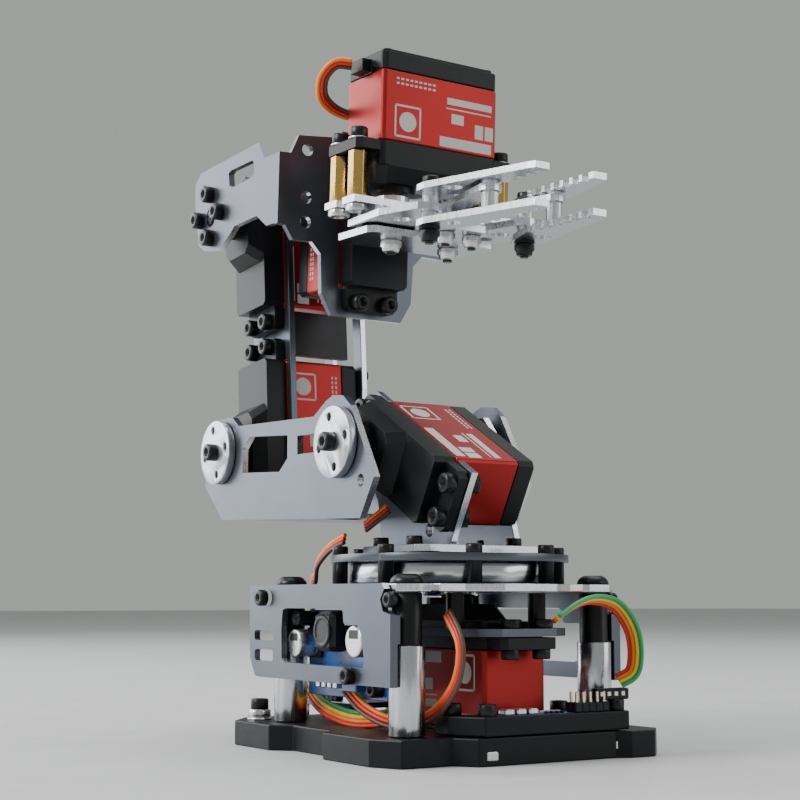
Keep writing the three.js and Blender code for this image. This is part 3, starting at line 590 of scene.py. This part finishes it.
palm = Piece("palm_screws", "palm", "black_plastic", WRIST_TURN)
for dx in (-5, 5):
    for side in (-1, 1):
        x, y = GRIP_X + dx, side * EAR_REACH
        nut(palm, (x, y, PALM_Z), (0, 0, -1), 5.6, 2.2, 1.4, ZINC)
        washer(palm, (x, y, GRIP_TOP - EAR_FOOT), (0, 0, 1), 3.0)
        cap_screw(palm, (x, y, GRIP_TOP - 26.5), (0, 0, 1), 2.6, 3.0)
        washer(palm, (x, y, PALM_Z + 2.0), (0, 0, 1), 3.1, h=0.28)
for side in (-1, 1):
    x, y = FOLLOW[0], side * FOLLOW[1]
    cap_screw(palm, (x, y, LINK_TOP + 0.4), (0, 0, 1), 2.1, 1.4)
    nut(palm, (x, y, SOLE_Z), (0, 0, -1), 4.8, 2.2, 1.2, ZINC, insert=True)
    nut(palm, (GRIP_X, side * GEAR_Y, SOLE_Z), (0, 0, -1), 5.4, 2.2, 1.4, ZINC, insert=True)
palm.done()

for tag, side, body in (("near", -1, "near_jaw"), ("far", 1, "far_jaw")):
    jaw = Piece(f"{tag}_jaw_pins", body, "black_plastic", WRIST_TURN)
    x, y = PIN[0], side * PIN[1]
    washer(jaw, (x, y, PALM_Z + 1.8), (0, 0, 1), 3.0, 1.4, 0.4, OXIDE)
    cap_screw(jaw, (x, y, PALM_Z + 2.2), (0, 0, 1), 2.3, 2.4)
    washer(jaw, (x, y, FINGER_LOW), (0, 0, -1), 3.0, 1.4, 0.4, OXIDE)
    nut(jaw, (x, y, FINGER_LOW - 0.4), (0, 0, -1), 5.0, 2.2, 1.2, OXIDE, insert=True)
    jaw.done()


# ---- circuit boards ------------------------------------------------------------------------------
def board(piece, low, high):
    piece.block(low, high, BOARD, chamfer=0.2)


def pin_row(piece, start, step, count, height, along=(1, 0, 0), rows=1, across=(0, 1, 0)):
    """A black header strip with tinned pins."""
    a, b = Vector(along), Vector(across)
    for r in range(rows):
        for i in range(count):
            p = Vector(start) + a * (i * step) + b * (r * step)
            piece.block(p - Vector((1.15, 1.15, 0)), p + Vector((1.15, 1.15, 2.5)), BLACK, chamfer=0.25)
            low, high = p + Vector((-0.32, -0.32, 2.4)), p + Vector((0.32, 0.32, height))
            piece.block(low, high, COPPER, chamfer=0.1)


bus = Piece("bus_board_parts", "base", "circuit_board")
board(bus, (33.2, -9.8, 10.6), (38.0, 24.8, TRAY_TOP))
for i in range(3):
    y = -8.6 + i * 3.8
    bus.block((34.0, y, TRAY_TOP), (37.4, y + 3.0, 13.7), ZINC, chamfer=0.3)
for i in range(4):
    bus.block((34.2, 4.4 + i * 1.7, TRAY_TOP), (35.6, 5.4 + i * 1.7, 12.9), WHITE, chamfer=0.15)
    bus.block((36.2, 4.4 + i * 1.7, TRAY_TOP), (37.4, 5.4 + i * 1.7, 12.8), BLACK, chamfer=0.15)
pin_row(bus, (35.0, 14.4, TRAY_TOP), 2.3, 5, 5.2, along=(0, 1, 0), rows=2, across=(1, 0, 0))
bus.block((34.4, 21.4, 15.0), (37.4, 32.4, 18.0), BLACK, chamfer=0.3)
for i in range(4):
    bus.block((37.3, 22.4 + i * 2.4, 16.0), (37.6, 23.6 + i * 2.4, 17.2), COPPER, chamfer=0.1)
bus.done(replaces=("bus_board",))

conv = Piece("converter_board_parts", "base", "circuit_board")
CONV_Y = -27.9
CONV_FRONT = -35.3
board(conv, (-30, CONV_Y, 15), (12, CONV_Y + 1.6, 38.5))
conv.block((-15.5, CONV_FRONT + 0.4, 27.4), (-5.3, CONV_Y, 38.3), BLACK, chamfer=1.4)
out = facing((-10.4, CONV_FRONT + 0.5, 32.8), (0, -1, 0))
conv.turned([(4.4, 0), (4.5, 0.1), (4.3, 0.4), (3.3, 0.45), (3.1, 0.2)], OXIDE, out, 32)
for x, z, r in ((-25.6, 29.4, 3.8), (6.6, 30.5, 4.2)):
    at = facing((x, CONV_Y, z), (0, -1, 0))
    h = CONV_Y - CONV_FRONT
    foot = r + 0.3
    conv.block((x - foot, CONV_Y - 1.2, z - foot), (x + foot, CONV_Y, z + foot), BLACK, chamfer=0.6)
    can = [
        (r, 1.1), (r, 1.5), (r * 0.93, 1.8), (r, 2.2),
        (r, h - 0.5), (r * 0.93, h - 0.05), (r * 0.85, h - 0.1),
    ]
    conv.turned(can, ZINC, at, 32)
    low = (x - r * 0.55, CONV_FRONT, z + r * 0.15)
    conv.block(low, (x + r * 0.55, CONV_FRONT + 0.3, z + r * 0.7), OXIDE, chamfer=0.1)
conv.block((-4.0, -32.5, 17.0), (3.5, CONV_Y, 22.5), BOARD, chamfer=0.3)
for i in range(4):
    conv.block((-22 + i * 3.1, -30.2, 17.4), (-20 + i * 3.1, CONV_Y, 20.4), ZINC, chamfer=0.2)
cap_screw(conv, (-26.6, CONV_Y, 36.2), (0, -1, 0), 2.1, 6.4)
cap_screw(conv, (8.4, CONV_Y, 18.0), (0, -1, 0), 2.2, 3.4)
conv.done(replaces=("converter_board",))

ctrl = Piece("controller_board_parts", "base", "circuit_board")
z = PLATE_TOP + 4
board(ctrl, (-56, -20, z), (-20, 18, z + 1.6))
pin_row(ctrl, (-46.8, -17.8, z + 1.6), 2.3, 8, 8.4)
ctrl.block((-52, -6, z + 1.6), (-40, 6, z + 7.6), ZINC, chamfer=0.4)
ctrl.block((-36, -4, z + 1.6), (-27, 5, z + 2.9), BLACK, chamfer=0.3)
for i in range(6):
    ctrl.block((-50 + i * 4.2, 12, z + 1.6), (-47.6 + i * 4.2, 14, z + 3.0), WHITE, chamfer=0.2)
for x in (-53.4, -23):
    for y in (-17, 15):
        ctrl.turned([(2.2, 0), (2.2, 3.6), (1.4, 3.7)], BRASS, Matrix.Translation((x, y, PLATE_TOP + 0.3)), 6)
ctrl.done(replaces=("controller_board",))


# ---- cables --------------------------------------------------------------------------------------
def smooth_path(points, per_span=8):
    """Centripetal curve through the points, as in the CAD model."""
    p = [Vector(q) for q in points]
    p = [p[0] * 2 - p[1]] + p + [p[-1] * 2 - p[-2]]
    out = []
    for i in range(1, len(p) - 2):
        knots = [0.0]
        for a, b in zip(p[i - 1:i + 2], p[i:i + 3]):
            knots.append(knots[-1] + math.sqrt((b - a).length))
        for k in range(per_span):
            t = knots[1] + (knots[2] - knots[1]) * k / per_span
            a1 = p[i - 1].lerp(p[i], (t - knots[0]) / (knots[1] - knots[0]))
            a2 = p[i].lerp(p[i + 1], (t - knots[1]) / (knots[2] - knots[1]))
            a3 = p[i + 1].lerp(p[i + 2], (t - knots[2]) / (knots[3] - knots[2]))
            b1 = a1.lerp(a2, (t - knots[0]) / (knots[2] - knots[0]))
            b2 = a2.lerp(a3, (t - knots[1]) / (knots[3] - knots[1]))
            out.append(b1.lerp(b2, (t - knots[1]) / (knots[2] - knots[1])))
    out.append(p[-2])
    return out


def ribbon(name, node, points, colours, body, flat, turn=STILL, r=0.62):
    """Parallel wires side by side. flat is roughly the direction that they lie along."""
    piece = Piece(name, body, "cable_jacket", turn)
    path = smooth_path(points)
    side = Vector(flat).normalized()
    frames = []
    for i, p in enumerate(path):
        ahead = path[min(i + 1, len(path) - 1)] - path[max(i - 1, 0)]
        ahead.normalize()
        side = (side - ahead * side.dot(ahead)).normalized()
        frames.append((p, side.copy(), ahead.cross(side)))
    for k, colour in enumerate(colours):
        shift = (k - (len(colours) - 1) / 2) * r * 1.9
        rings = []
        for p, s, n in frames:
            c = p + s * shift
            rings.append([c + s * (r * math.cos(a)) + n * (r * math.sin(a))
                          for a in (2 * math.pi * i / 8 for i in range(8))])
        piece.loops(rings, WIRES[colour], smooth=True)
    return piece.done(replaces=(node,))


SERVO_WIRES = ("brown", "red", "orange")
BUS_WIRES = ("red", "orange", "yellow", "green")
ribbon("shoulder_lead_wires", "shoulder_lead", [
    (-2, -19, 66.2), (-5, -21, 63.6), (-8.6, -22.4, 61.2),
], SERVO_WIRES, "turntable", (0, 0.4, 1))
ribbon("shoulder_wires", "shoulder_cable", [
    (-14.6, -25.4, 58.2), (-18, -25.8, 57.2), (-23, -25.6, 55.6), (-29.5, -25.5, 51.5), (-34, -23.5, 47.6),
    (-41, -20.5, 47.2), (-46.5, -18, 44.5), (-47, -17, 37), (-44, -17.3, 30), (-41, -17.7, 24),
    (-39.5, -17.8, 21.6),
], SERVO_WIRES, "base", (0, 0.4, 1))
ribbon("base_servo_wires", "base_servo_cable", [
    (31, -22, 38), (36.3, -22, 31.3), (36.8, -22, 26.4), (34, -22.2, 19.4), (26.5, -23.6, 12.4),
    (20.5, -25.5, 10), (11.3, -27.4, 9.9), (1.3, -29.2, 13), (-6, -30, 17.7),
], SERVO_WIRES, "base", (-0.78, 0, -0.62))
ribbon("sensor_wires_near", "sensor_cable_near", [
    (-42, -22.6, 19), (-33, -23, 12.5), (-20, -23.4, 9.5), (-6, -23.4, 9.2), (5, -21, 11.5), (8, -17.5, 20),
    (4, -16, 28),
], BUS_WIRES, "base", (0, 0.2, 1))
ribbon("sensor_wires_far", "sensor_cable_far", [
    (40, 6, 36.4), (39.6, 13, 40), (38.6, 20, 41.4), (38, 28, 39.6), (38.4, 33, 33), (38.8, 33.6, 26),
    (38.6, 32.4, 22), (36.6, 29.5, 19.8),
], BUS_WIRES, "base", (0.9, 0.2, 0.6))
ribbon("gripper_wires", "gripper_cable", [
    (-14.2, -24.8, 198.2), (-16, -29, 198), (-19.5, -31, 194.5), (-22.5, -29.5, 190), (-26, -23, 187.6),
    (-28, -14, 187.5), (-28, 0, 188.5),
], SERVO_WIRES, "palm", (0.7, 0, 0.7), WRIST_TURN)


# ---- floor, light and camera ---------------------------------------------------------------------
def floor():
    bpy.ops.mesh.primitive_plane_add(size=12, location=(0, 0, 0))
    plane = bpy.context.object
    plane.name = "floor"
    pale = surface("pale_floor", (0.50, 0.51, 0.51), 0.5, grain=60, bump=0.02, spread=0.02)
    plane.data.materials.append(pale)


def area_light(name, place, target, size, watts, colour=(1, 1, 1)):
    data = bpy.data.lights.new(name, "AREA")
    data.shape = "RECTANGLE"
    data.size, data.size_y = size
    data.energy = watts
    data.color = colour
    light = bpy.data.objects.new(name, data)
    light.location = place
    light.rotation_euler = (Vector(target) - Vector(place)).to_track_quat("-Z", "Y").to_euler()
    bpy.context.scene.collection.objects.link(light)


floor()
MIDDLE = (-0.02, 0, 0.1)
area_light("key", (-0.25, -1.15, 0.85), MIDDLE, (0.6, 0.6), 24, (1, 0.99, 0.97))
area_light("side", (-1.1, -0.5, 0.5), MIDDLE, (0.9, 1.0), 12, (0.95, 0.98, 1))
area_light("top", (-0.1, 0.2, 1.3), MIDDLE, (1.2, 1.2), 15)
area_light("right", (1.0, 0.9, 0.5), MIDDLE, (0.8, 0.8), 4)

world = bpy.data.worlds.new("studio")
world.use_nodes = True
world.node_tree.nodes["Background"].inputs["Color"].default_value = (0.50, 0.525, 0.50, 1)
world.node_tree.nodes["Background"].inputs["Strength"].default_value = 0.78
bpy.context.scene.world = world

CAMERA_PLACE = Vector((0.3622, -0.2480, 0.0410))
CAMERA_TURN = math.radians(57.41)
CAMERA_RISE = math.radians(7.32)
camera = bpy.data.objects.new("camera", bpy.data.cameras.new("camera"))
camera.data.lens = 70.4
camera.data.sensor_width = 36
camera.data.clip_start = 0.01
camera.location = CAMERA_PLACE
look = Vector((
    -math.sin(CAMERA_TURN) * math.cos(CAMERA_RISE),
    math.cos(CAMERA_TURN) * math.cos(CAMERA_RISE),
    math.sin(CAMERA_RISE),
))
camera.rotation_euler = look.to_track_quat("-Z", "Y").to_euler()
bpy.context.scene.collection.objects.link(camera)
bpy.context.scene.camera = camera
